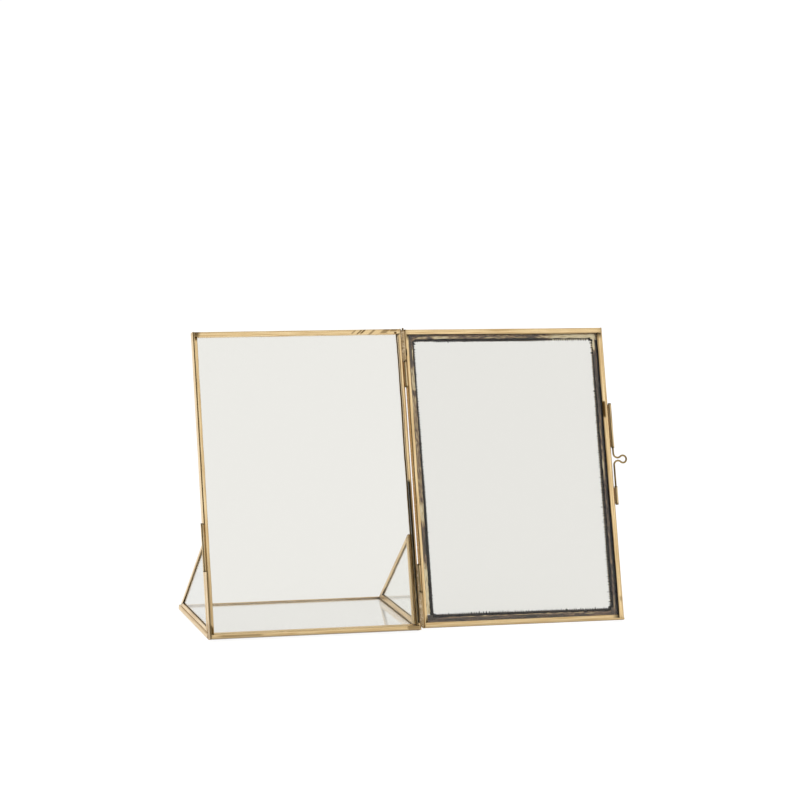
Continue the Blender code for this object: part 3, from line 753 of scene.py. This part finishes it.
doorLook = {
    "rim": {"hinge": 2.4, "latch": 3.4, "top": 3.25, "bottom": 3.25},
    "border": {"hinge": 7.0, "latch": 8.1, "top": 7.5, "bottom": 8.4},
    "shadow": {"hinge": 0.6, "latch": 0.9, "top": 0.1, "bottom": 0.1},  # mm of painted shadow beyond the rim
    "bulge": {"hinge": (0.55, 2.35, 0.75), "latch": (0.1, 1.7, 1.0), "top": (0, 1, 1), "bottom": (0, 1, 1)},
    "drift": {
        "hinge": (
            [(0, 0.0)],
            [(0, 0.2), (90, 0.15), (100, -0.1), (130, -0.2), (150, -0.5), (189, -0.4)]),
        "latch": (
            [(0, -0.1), (30, -0.2), (60, 0.0), (100, 0.3), (150, 0.3), (189, 0.45)],
            [(0, -0.1), (30, 0.0), (60, -0.2), (130, -0.25), (160, -0.5), (189, -0.3)]),
        "top": (
            [(0, 0.0), (30, 0.0), (60, 0.3), (90, 0.52), (115, 0.5), (135, 0.3)],
            [(0, 0.0), (32, 0.0), (40, 0.35), (90, 0.35), (105, 0.0), (135, 0.0)]),
        "bottom": (
            [(0, 0.0)],
            [(0, -0.3), (30, -0.3), (50, -0.4), (90, -0.5), (110, -0.7), (135, -0.8)]),
    },
    # By distance along, in mm: how far the black line lies over the lip, how far it stands out on
    # the glass, and how long its teeth are.
    "residue": {
        "hinge": {
            "over": [(0, 2.2), (40, 2.0), (60, 1.8), (100, 1.2), (150, 1.0), (189, 1.0)],
            "out": [(0, 0.1), (189, 0.0)],
            "teeth": [(0, 0.16), (60, 0.24), (120, 0.32), (189, 0.36)],
        },
        "latch": {
            "over": [(0, 2.1), (40, 2.0), (120, 1.8), (145, 1.5), (158, 1.2), (189, 1.1)],
            "out": [(8, 1.0), (10, 0.4), (12.5, 0.0), (120, 0.0), (150, -0.1), (160, -0.1), (178, -0.2),
                    (189, 0.0)],
            "teeth": [(0, 0.4), (20, 0.55), (70, 0.55), (100, 0.5), (140, 0.48), (160, 0.5), (189, 0.5)],
        },
        "top": {
            "over": [(0, 1.4), (18, 1.5), (24, 1.6), (34, 1.6), (40, 1.9), (88, 1.8), (98, 1.4), (106, 1.2),
                     (120, 1.2), (135, 1.2)],
            "out": [(0, 0.0), (18, 0.1), (23, 0.5), (33, 0.4), (37, 0.0), (90, 0.0), (100, -0.1),
                    (112, -0.15), (123, -0.15), (128, 0.1)],
            "teeth": [(0, 0.2), (60, 0.24), (90, 0.34), (105, 0.5), (128, 0.5)],
        },
        "bottom": {
            "over": [(0, 1.9), (30, 1.7), (90, 1.6), (135, 1.6)],
            "out": [(0, 0.0), (28, 0.1), (34, 0.3), (50, 0.2), (60, 0.0), (122, 0.0), (125, 0.4), (127, 1.0)],
            "teeth": [(0, 0.28), (40, 0.46), (100, 0.42), (135, 0.46)],
        },
    },
}
residueShape = {
    "overrun": 0.4,  # mm past the neighbours' edges, into the corner
    "step": 0.15,
    "toothPitch": 1.6,
    "toothLength": 3.3,  # times the teeth's own setting
    "toothMiddle": 1.45,  # taken off again, so that they stand out on both sides of the edge
    "grain": 0.35,  # of the glass side, between its teeth
    "lipWander": 0.18,
    "corner": (1.3, 0.75),  # growth there, and over what length it falls off
    "end": 0.3,
    "thin": 0.07,
    "sunk": 0.09,
}


def makeResidue(name, start, end, inward, edge, drift, trims, look, seed):
    # A flat bead between lip and glass. Its two sides lie at the edge plus and minus their own
    # widths along the way: the lip side wanders slowly, the glass side has blunt teeth, a clipped
    # triangle wave whose pitch and length drift. It grows as a falling exponential towards the
    # corners, which rounds them.
    start, end, inward = (np.array(v, float) for v in (start, end, inward))
    length = np.linalg.norm(end - start)
    direction = (end - start) / length
    shape = residueShape
    low, high = trims[0] - shape["overrun"], length - trims[1] + shape["overrun"]
    z = np.linspace(low, high, round((high - low) / shape["step"]))
    over, out, teeth = (np.interp(z, *zip(*look[key])) for key in ("over", "out", "teeth"))
    phase = z / shape["toothPitch"] + 0.4 * wander(z, seed + 2, 30.0, 4.0)
    spikes = np.clip(1.3 - 3.2 * np.abs(phase % 1 - 0.5), 0, 1) * shape["toothLength"]
    ragged = 1 + 0.3 * wander(z, seed + 3, 5.0, 1.1, 8)
    grain = shape["grain"] * wander(z, seed + 1, 9.0, 0.9, 8)
    growth, fall = shape["corner"]
    corner = growth * (np.exp(-(z - low) / fall) + np.exp(-(high - z) / fall))
    edge = edge + np.interp(z, *zip(*drift))
    glassSide = edge + out + corner + teeth * (spikes * ragged - shape["toothMiddle"] + grain)
    lipSide = edge - over - shape["lipWander"] * wander(z, seed, 11.0, 1.3)
    taper = np.clip(np.minimum(z - low, high - z) / shape["end"], 0, 1) ** 0.5
    width = np.maximum(glassSide - lipSide, 0.04) * taper
    middle = (glassSide + lipSide) / 2
    angle = fullTurn(12)
    a = middle[:, None] + width[:, None] / 2 * np.cos(angle)
    thickness = shape["thin"] * np.minimum(1, width / shape["end"])
    d = sizes["cameDepth"] - sizes["sheet"] - shape["sunk"] + thickness[:, None] * np.sin(angle)
    points = start + a[..., None] * inward + d[..., None] * (0, 1, 0) + z[:, None, None] * direction
    makePiece(name, doorPlace, "door", points, {}, [residue], sharp=60)


def buildDoor():
    look = doorLook
    rim, border = look["rim"], look["border"]
    near, far = tubeOffset, tubeOffset + sizes["paneWidth"]
    face = sizes["seam"] / 2
    foot, top = sizes["doorLift"], sizes["doorLift"] + sizes["doorHeight"]
    atTop, atFoot, atLatch = (copedEnd(rim[key], border[key]) for key in ("top", "bottom", "latch"))
    upright, level = ("bottom", "top"), ("hinge", "latch")
    pieces = (
        ("stile_hinge", "hinge", (near, foot), (near, top), (1, 0, 0), (atFoot, atTop), upright),
        ("stile_latch", "latch", (far, foot), (far, top), (-1, 0, 0), (overEnd, atTop), upright),
        ("rail_top", "top", (near, top), (far, top), (0, 0, -1), (overEnd, overEnd), level),
        ("rail_bottom", "bottom", (near, foot), (far, foot), (0, 0, 1), (overEnd, atLatch), level))
    for i, (part, key, start, end, inward, ends, neighbours) in enumerate(pieces):
        start, end = ((x, face, z) for x, z in (start, end))
        makeStrip(
            f"door_{part}", doorPlace, "door", start, end, inward, (0, 1, 0),
            cameSection(rim[key], border[key]), ends, look["shadow"][key],
            bulge=look["bulge"][key], drift=look["drift"][key], rowGap=0.6)
        makeResidue(
            f"door_{part}_residue", start, end, inward, border[key], look["drift"][key][1],
            [border[other] for other in neighbours], look["residue"][key], 300 + 10 * i)


# Tubes, pins and the wire bolt

tubeLook = {
    "outer": 1.0,
    "hingeBore": 0.65,
    "latchBore": 0.7,
    "chamfer": 0.12,
    "mouth": 0.05,
    "groove": 0.15,  # half its width, and the solder's, in radians
    "smear": 1.1,
    "smearWaves": (9.0, 1.2),
    "lumps": (0.035, 0.02),
    "lumpWaves": (3.0, 0.5),
    "slant": 0.08,
    "stain": (9, 0.5, 1.2),  # how strong in the groove and at the ends, and how far from these
    "black": (5, 0.9, 0.35),
    "rowGap": 0.8,
    "around": 48,
}


def makeTube(node, place, body, x, y, foot, top, bore, seamAngle, seamDepth=0.11, solderSide=None):
    # A tube rolled from strip: the outline of its wall turned about the axis, with a narrow groove
    # where the strip's two edges meet, and ends that wander a little from square. Solder smears one
    # side of it, fading as a bell curve of the angle.
    look = tubeLook
    outer, edge, mouth = look["outer"], look["chamfer"], look["mouth"]
    shoulder = edge * 0.3
    height = top - foot
    heights = np.linspace(edge, height - edge, max(3, round(height / look["rowGap"])))
    wall = np.concatenate([
        [[bore, mouth], [bore + edge, 0], [outer - edge, 0], [outer - shoulder, shoulder]],
        np.stack([np.full_like(heights, outer), heights], 1),
        [[outer - shoulder, height - shoulder], [outer - edge, height], [bore + edge, height],
         [bore, height - mouth]],
    ])
    angle = fullTurn(look["around"])

    def fromAngle(degrees):
        return (angle[:, None] - math.radians(degrees) + math.pi) % (2 * math.pi) - math.pi

    groove = seamDepth * np.exp(-(fromAngle(seamAngle) / look["groove"]) ** 2)
    outside = np.clip((wall[:, 0] - bore) / (outer - bore), 0, 1)
    radius = wall[:, 0] - groove * outside
    seed = round(top * 7 + x)
    smeared = 0 * angle[:, None] + 0 * wall[:, 1]
    if solderSide is not None:
        smeared = np.exp(-(fromAngle(solderSide) / look["smear"]) ** 2)
        smeared = smeared * np.clip(0.8 + 0.7 * wander(wall[:, 1], seed + 3, *look["smearWaves"]), 0, 1.2)
        lump, sunk = look["lumps"]
        lumps = lump * wander(wall[:, 1] + angle[:, None], seed + 4, *look["lumpWaves"]) - sunk
        radius = radius + smeared * outside * lumps
    near = np.minimum(wall[:, 1], height - wall[:, 1])
    slant = look["slant"] * np.cos(angle[:, None] + seed) * (2 * wall[:, 1] / height - 1)
    height = foot + wall[:, 1] + slant
    points = np.stack(
        [x + radius * np.cos(angle[:, None]), y + radius * np.sin(angle[:, None]), height], -1)
    values = {
        "along": foot + wall[:, 1] + 97.0 * seed,
        "across": (angle * outer)[:, None] + 0 * wall[:, 1],
    }
    for key in ("stain", "black"):
        inGroove, atEnds, reach = look[key]
        values[key] = np.clip(groove * inGroove + atEnds * np.clip(1 - near / reach, 0, 1), 0, 1)
    values["black"] = values["black"] * outside
    values["solder"] = smeared * outside
    # The grid's rows go round, so the last row joins the first; the wall's outline is closed too.
    closed = np.append(np.arange(len(points)), 0)
    values = {key: np.broadcast_to(v, points.shape[:2])[closed] for key, v in values.items()}
    makePiece(f"{node}_tube", place, body, points[closed], values, [tubeBrass], [node])


beadShape = {"rowGap": 0.4, "blunt": 1.5, "waves": (6.0, 0.9), "around": 20, "solder": 0.75}
beadLook = {
    "hinge": {"aside": 0.62, "behind": 1.02, "trims": (0.5, 0.5), "radii": (0.44, 0.50), "lumps": 0.22},
    "groove": {"aside": 1.10, "behind": 0.08, "trims": (0.3, 0.2), "radii": (0.30, 0.32), "lumps": 0.3},
    "latch": {"aside": 0.62, "behind": 1.0, "trims": (0.6, 0.6), "radii": (0.44, 0.48), "lumps": 0.22},
}


def makeBead(name, place, body, x, y, foot, top, towards, look):
    # Solder run up a tube, on the side towards its strip: an ellipse carried along a straight path,
    # its two radii swelling and shrinking by a seeded wander, and closing as a flattened circle at
    # both ends.
    global seedCount
    seedCount += 1
    x, y = x + towards * look["aside"], y + look["behind"]
    start, end = np.array([(x, y, foot + look["trims"][0]), (x, y, top - look["trims"][1])])
    length = np.linalg.norm(end - start)
    shape = beadShape
    t = np.linspace(0, 1, max(9, round(length / shape["rowGap"])))
    closing = np.clip(1 - np.abs(2 * t - 1) ** max(4, length * shape["blunt"]), 0, 1) ** 0.5
    swelling = [
        1 + look["lumps"] * wander(t * length, seedCount * 7 + k, *shape["waves"]) for k in (0, 1)]
    angle = fullTurn(shape["around"])
    wide, proud = look["radii"]
    across = wide * (closing * swelling[0])[:, None] * np.cos(angle)
    out = proud * (closing * swelling[1])[:, None] * np.sin(angle)
    middle = start + t[:, None] * (end - start)
    points = middle[:, None] + across[..., None] * (1, 0, 0) + out[..., None] * (0, 1, 0)
    values = {
        "along": (t * length)[:, None] + 0 * angle,
        "across": angle * wide + 0 * t[:, None],
        "solder": shape["solder"],
    }
    makePiece(name, place, body, points, values, [solderMetal], sharp=80)


rodLook = {"tip": 0.8, "tipRings": 5, "around": 16}  # a tip is this share of the radius


def makeRod(name, node, place, body, path, radius):
    # A round rod along a flat path: a circle stands square to each point's heading. Its ends are
    # rounded by rings that shrink as a quarter circle.
    heading = np.gradient(path, axis=0)
    heading /= np.linalg.norm(heading, axis=1)[:, None]
    dome = np.linspace(0, math.pi / 2, rodLook["tipRings"])[:-1]
    tips = radius * rodLook["tip"]
    startRings = path[0] - heading[0] * (tips * np.sin(dome[::-1]))[:, None]
    endRings = path[-1] + heading[-1] * (tips * np.sin(dome))[:, None]
    poleStart, poleEnd = path[:1] - heading[:1] * tips, path[-1:] + heading[-1:] * tips
    centres = np.concatenate([poleStart, startRings, path[1:-1], endRings, poleEnd])
    radii = np.concatenate([
        [0], radius * np.cos(dome[::-1]), np.full(len(path) - 2, radius), radius * np.cos(dome), [0]])
    headings = np.concatenate([
        heading[:1], np.repeat(heading[:1], len(dome), 0), heading[1:-1],
        np.repeat(heading[-1:], len(dome), 0), heading[-1:]])
    side = (0, 1, 0)
    normal = np.cross(headings, side)
    angle = fullTurn(rodLook["around"])
    square = np.cos(angle)[None, :, None] * normal[:, None] + np.sin(angle)[None, :, None] * side
    points = centres[:, None] + radii[:, None, None] * square
    travelled = np.concatenate([[0], np.cumsum(np.linalg.norm(np.diff(centres, axis=0), axis=1))])
    values = {
        "along": travelled[:, None] + 0 * angle,
        "across": (angle * radius)[None] + 0 * travelled[:, None],
    }
    makePiece(name, place, body, points, values, [wireBrass], [node])


hingeLook = {
    "upperFixed": (170.35, 190.0),
    "upperDoor": (153.5, 170.05),
    "lowerDoor": (23.65, 40.9),
    "lowerFixed": (1.6, 23.35),
    "upperPin": (152.9, 191.5),
    "lowerPin": (1.0, 41.5),
    "pinRadius": 0.6,
}
latchLook = {
    "upperGuide": (111.6, 140.8),
    "lowerGuide": (74.8, 86.8),
    "keeper": (41.3, 71.3),
    "loopHeight": 104.3,
    "loopRadius": 2.35,
    "neck": 1.96,
    "fillet": 2.8,
    "upperLeg": 22.7,
    "endInset": 1.0,
    "wire": 0.6,
}


def buildHinges():
    x, y = halfWidth + tubeOffset, -matingDepth
    bore = tubeLook["hingeBore"]
    tubes = (
        ("hinge_upper_knuckle_fixed", leanPlace, "frame", x, y, "upperFixed", 282, 0.04, 235, -1),
        ("hinge_upper_knuckle_door", doorPlace, "door", 0, 0, "upperDoor", 246, 0.09, None, 1),
        ("hinge_lower_knuckle_door", doorPlace, "door", 0, 0, "lowerDoor", 250, 0.12, None, 1),
        ("hinge_lower_knuckle_fixed", leanPlace, "frame", x, y, "lowerFixed", 288, 0.09, 215, -1))
    for node, place, body, tubeX, tubeY, key, seamAngle, seamDepth, solderSide, towards in tubes:
        foot, top = hingeLook[key]
        makeTube(node, place, body, tubeX, tubeY, foot, top, bore, seamAngle, seamDepth, solderSide)
        makeBead(f"{node}_solder", place, body, tubeX, tubeY, foot, top, towards, beadLook["hinge"])
        if towards < 0:
            # It also filled the groove in front, beside the stile.
            top = hingeLook["lowerDoor"][1] if key == "lowerFixed" else top
            makeBead(
                f"{node}_solder_front", place, body, tubeX, tubeY, foot, top, towards, beadLook["groove"])
    for node, key in (("hinge_upper_pin", "upperPin"), ("hinge_lower_pin", "lowerPin")):
        foot, top = hingeLook[key]
        tip = hingeLook["pinRadius"] * rodLook["tip"]
        z = np.linspace(foot + tip, top - tip, 30)
        path = np.stack([np.full_like(z, x), np.full_like(z, y), z], 1)
        makeRod(f"{node}_rod", node, leanPlace, "frame", path, hingeLook["pinRadius"])


def boltPath():
    # Down the upper leg, round a fillet, round the open loop, back round a fillet and down again.
    look = latchLook
    fillet, radius = look["fillet"], look["loopRadius"]
    filletHeight = look["neck"] / 2 + fillet
    reach = radius + fillet
    loopX = fillet + math.sqrt(reach ** 2 - filletHeight ** 2)
    meeting = math.asin(filletHeight / reach)
    turn = np.linspace(math.pi, 2 * math.pi - meeting, 16)
    upper = np.stack([fillet * (1 + np.cos(turn)), filletHeight + fillet * np.sin(turn)], 1)
    turn = np.linspace(math.pi - meeting, meeting - math.pi, 48)[1:-1]
    loop = np.stack([loopX + radius * np.cos(turn), radius * np.sin(turn)], 1)
    lower = upper[::-1] * (1, -1)
    legTop = look["upperGuide"][0] - look["loopHeight"] + look["upperLeg"]
    legFoot = look["lowerGuide"][0] - look["loopHeight"] + look["endInset"]
    tip = look["wire"] * rodLook["tip"]
    topLeg = np.linspace(legTop - tip, filletHeight, 26)[:-1]
    footLeg = np.linspace(-filletHeight, legFoot + tip, 26)[1:]
    legs = [np.stack([np.zeros_like(z), z], 1) for z in (topLeg, footLeg)]
    flat = np.concatenate([legs[0], upper, loop, lower, legs[1]])
    axisX = 2 * tubeOffset + sizes["paneWidth"]
    return np.stack([axisX + flat[:, 0], np.zeros(len(flat)), look["loopHeight"] + flat[:, 1]], 1)


def buildLatch():
    axisX, keeperX = 2 * tubeOffset + sizes["paneWidth"], -halfWidth - tubeOffset
    tubes = (
        ("latch_guide_upper", doorPlace, "door", axisX, 0, "upperGuide", 232, -1),
        ("latch_guide_lower", doorPlace, "door", axisX, 0, "lowerGuide", 236, -1),
        ("latch_keeper", leanPlace, "frame", keeperX, -matingDepth, "keeper", 250, 1))
    for node, place, body, x, y, key, seamAngle, towards in tubes:
        foot, top = latchLook[key]
        makeTube(node, place, body, x, y, foot, top, tubeLook["latchBore"], seamAngle)
        makeBead(f"{node}_solder", place, body, x, y, foot, top, towards, beadLook["latch"])
    makeRod("latch_bolt_wire", "latch_bolt", doorPlace, "bolt", boltPath(), latchLook["wire"])


def dressGlass():
    for name, (tintAndLighting, gloss) in glassLook["panes"].items():
        materials = frame["nodes"][name].data.materials
        materials.clear()
        materials.append(
            makeGlass(f"soda-lime float glass, {name.replace('_', ' ')}", glassLook, tintAndLighting, gloss))


buildPane()
buildBase()
buildSides()
buildDoor()
print("strips made")
buildHinges()
buildLatch()
dressGlass()
print("tubes, pins, bolt and glass made")


# Studio: a white floor, soft boxes, and the photograph's camera

studioLook = {
    "floorSize": 60.0,
    "floorGlow": 0.80,
    "floorLevel": 1.16,
    "floorPaint": (0.85, 0.85, 0.85, 1.0),
    "floorDrop": -0.00005,  # metres, so that it and the foot don't share a plane
    "worldLight": 0.75,
    "roomLevel": 0.60,
    "backLevel": 0.98,
    "backEdge": (-0.1, 0.5),  # cosines between which it turns from the room's level to the back's
    "darkSide": (-0.75, -0.62, 0.20),
    "darkLevel": 0.05,
    "darkEdge": (0.54, 0.76),
    "aim": (0.05, 0.02, 0.09),
    "boxes": [
        {"name": "soft box right", "at": (0.55, -1.45, 0.95), "size": 1.6, "level": 0.42},
        {"name": "soft box left", "at": (-1.6, 0.5, 1.2), "size": 1.2, "level": 0.35},
    ],
}


def buildWorld():
    world = bpy.data.worlds.new("studio")
    bpy.context.scene.world = world
    world.use_nodes = True
    tree = world.node_tree
    tree.nodes.clear()
    look = studioLook
    direction = addNode(tree, "TexCoord").outputs["Generated"]
    dark = Vector(look["darkSide"]).normalized()
    facing = addNode(tree, "VectorMath", {"operation": "DOT_PRODUCT", 1: dark}, {0: direction})
    behind = addNode(tree, "VectorMath", {"operation": "DOT_PRODUCT", 1: (0, 1, 0)}, {0: direction})
    low, high = look["backEdge"]
    pale = addNode(
        tree, "MapRange",
        {"interpolation_type": "SMOOTHSTEP", 1: low, 2: high, 3: look["roomLevel"], 4: look["backLevel"]},
        {0: behind.outputs["Value"]})
    low, high = look["darkEdge"]
    level = addNode(
        tree, "MapRange", {"interpolation_type": "SMOOTHSTEP", 1: low, 2: high, 4: look["darkLevel"]},
        {0: facing.outputs["Value"], 3: pale})
    mirrored = addNode(
        tree, "Mix", {"data_type": "FLOAT", 2: look["worldLight"]}, {0: raysOf(tree, "Glossy"), 3: level})
    seen = raysOf(tree, "Camera", "Transmission")
    strength = addNode(tree, "Mix", {"data_type": "FLOAT", 3: 1.0}, {0: seen, 2: mirrored})
    background = addNode(tree, "Background", {"Color": (1, 1, 1, 1)}, {"Strength": strength})
    addNode(tree, "OutputWorld", links={0: background})


def buildFloor():
    material, tree = newMaterial("white floor")
    seen = raysOf(tree, "Camera", "Glossy", "Transmission")
    glow = addNode(tree, "Math", {"operation": "MULTIPLY", 1: studioLook["floorGlow"]}, {0: seen})
    paint = addNode(tree, "BsdfDiffuse", {"Color": studioLook["floorPaint"]})
    light = addNode(tree, "Emission", {"Color": (1, 1, 1, 1), "Strength": studioLook["floorLevel"]})
    shader = addNode(tree, "MixShader", links={0: glow, 1: paint, 2: light})
    addNode(tree, "OutputMaterial", links={0: shader})
    half = studioLook["floorSize"] / 2
    mesh = bpy.data.meshes.new("floor")
    corners = [(-half, -half, 0), (half, -half, 0), (half, half, 0), (-half, half, 0)]
    mesh.from_pydata(corners, [], [(0, 1, 2, 3)])
    mesh.materials.append(material)
    floor = addObject("floor", mesh)
    floor.location.z = studioLook["floorDrop"]


def buildLamps():
    for box in studioLook["boxes"]:
        lamp = bpy.data.lights.new(box["name"], "AREA")
        lamp.shape = "SQUARE"
        lamp.size = box["size"]
        lamp.energy = box["level"] * math.pi * box["size"] ** 2  # watts for that brightness of its face
        holder = addObject(box["name"], lamp)
        holder.location = box["at"]
        aim = Vector(studioLook["aim"]) - holder.location
        holder.rotation_euler = aim.to_track_quat("-Z", "Y").to_euler()


cameraLook = {
    "azimuth": -16.84,  # degrees to the left of the frame's front
    "elevation": 9.13,
    "roll": 1.46,
    "distance": 1883.3,
    "lens": 137.4,
    "sensor": 36.0,
    "target": (51.48, 0.0, 146.53),  # from the leaning pane's foot
}


def buildCamera():
    look = cameraLook
    side, height, roll = (math.radians(look[key]) for key in ("azimuth", "elevation", "roll"))
    back = Vector((math.sin(side) * math.cos(height), -math.cos(side) * math.cos(height), math.sin(height)))
    right = (-back).cross(Vector((0, 0, 1))).normalized()
    up = back.cross(right)
    rolledRight = right * math.cos(roll) + up * math.sin(roll)
    rolledUp = up * math.cos(roll) - right * math.sin(roll)
    data = bpy.data.cameras.new("camera")
    data.lens = look["lens"]
    data.sensor_width = look["sensor"]
    data.clip_end = 100.0
    camera = addObject("camera", data)
    target = (Vector(look["target"]) + Vector((0, footY, 0))) * mm
    turn = Matrix((rolledRight, rolledUp, back)).transposed().to_4x4()
    camera.matrix_world = Matrix.Translation(target + back * look["distance"] * mm) @ turn
    bpy.context.scene.camera = camera


buildWorld()
buildFloor()
buildLamps()
buildCamera()
bpy.context.scene.view_settings.view_transform = "Standard"
print("studio made")
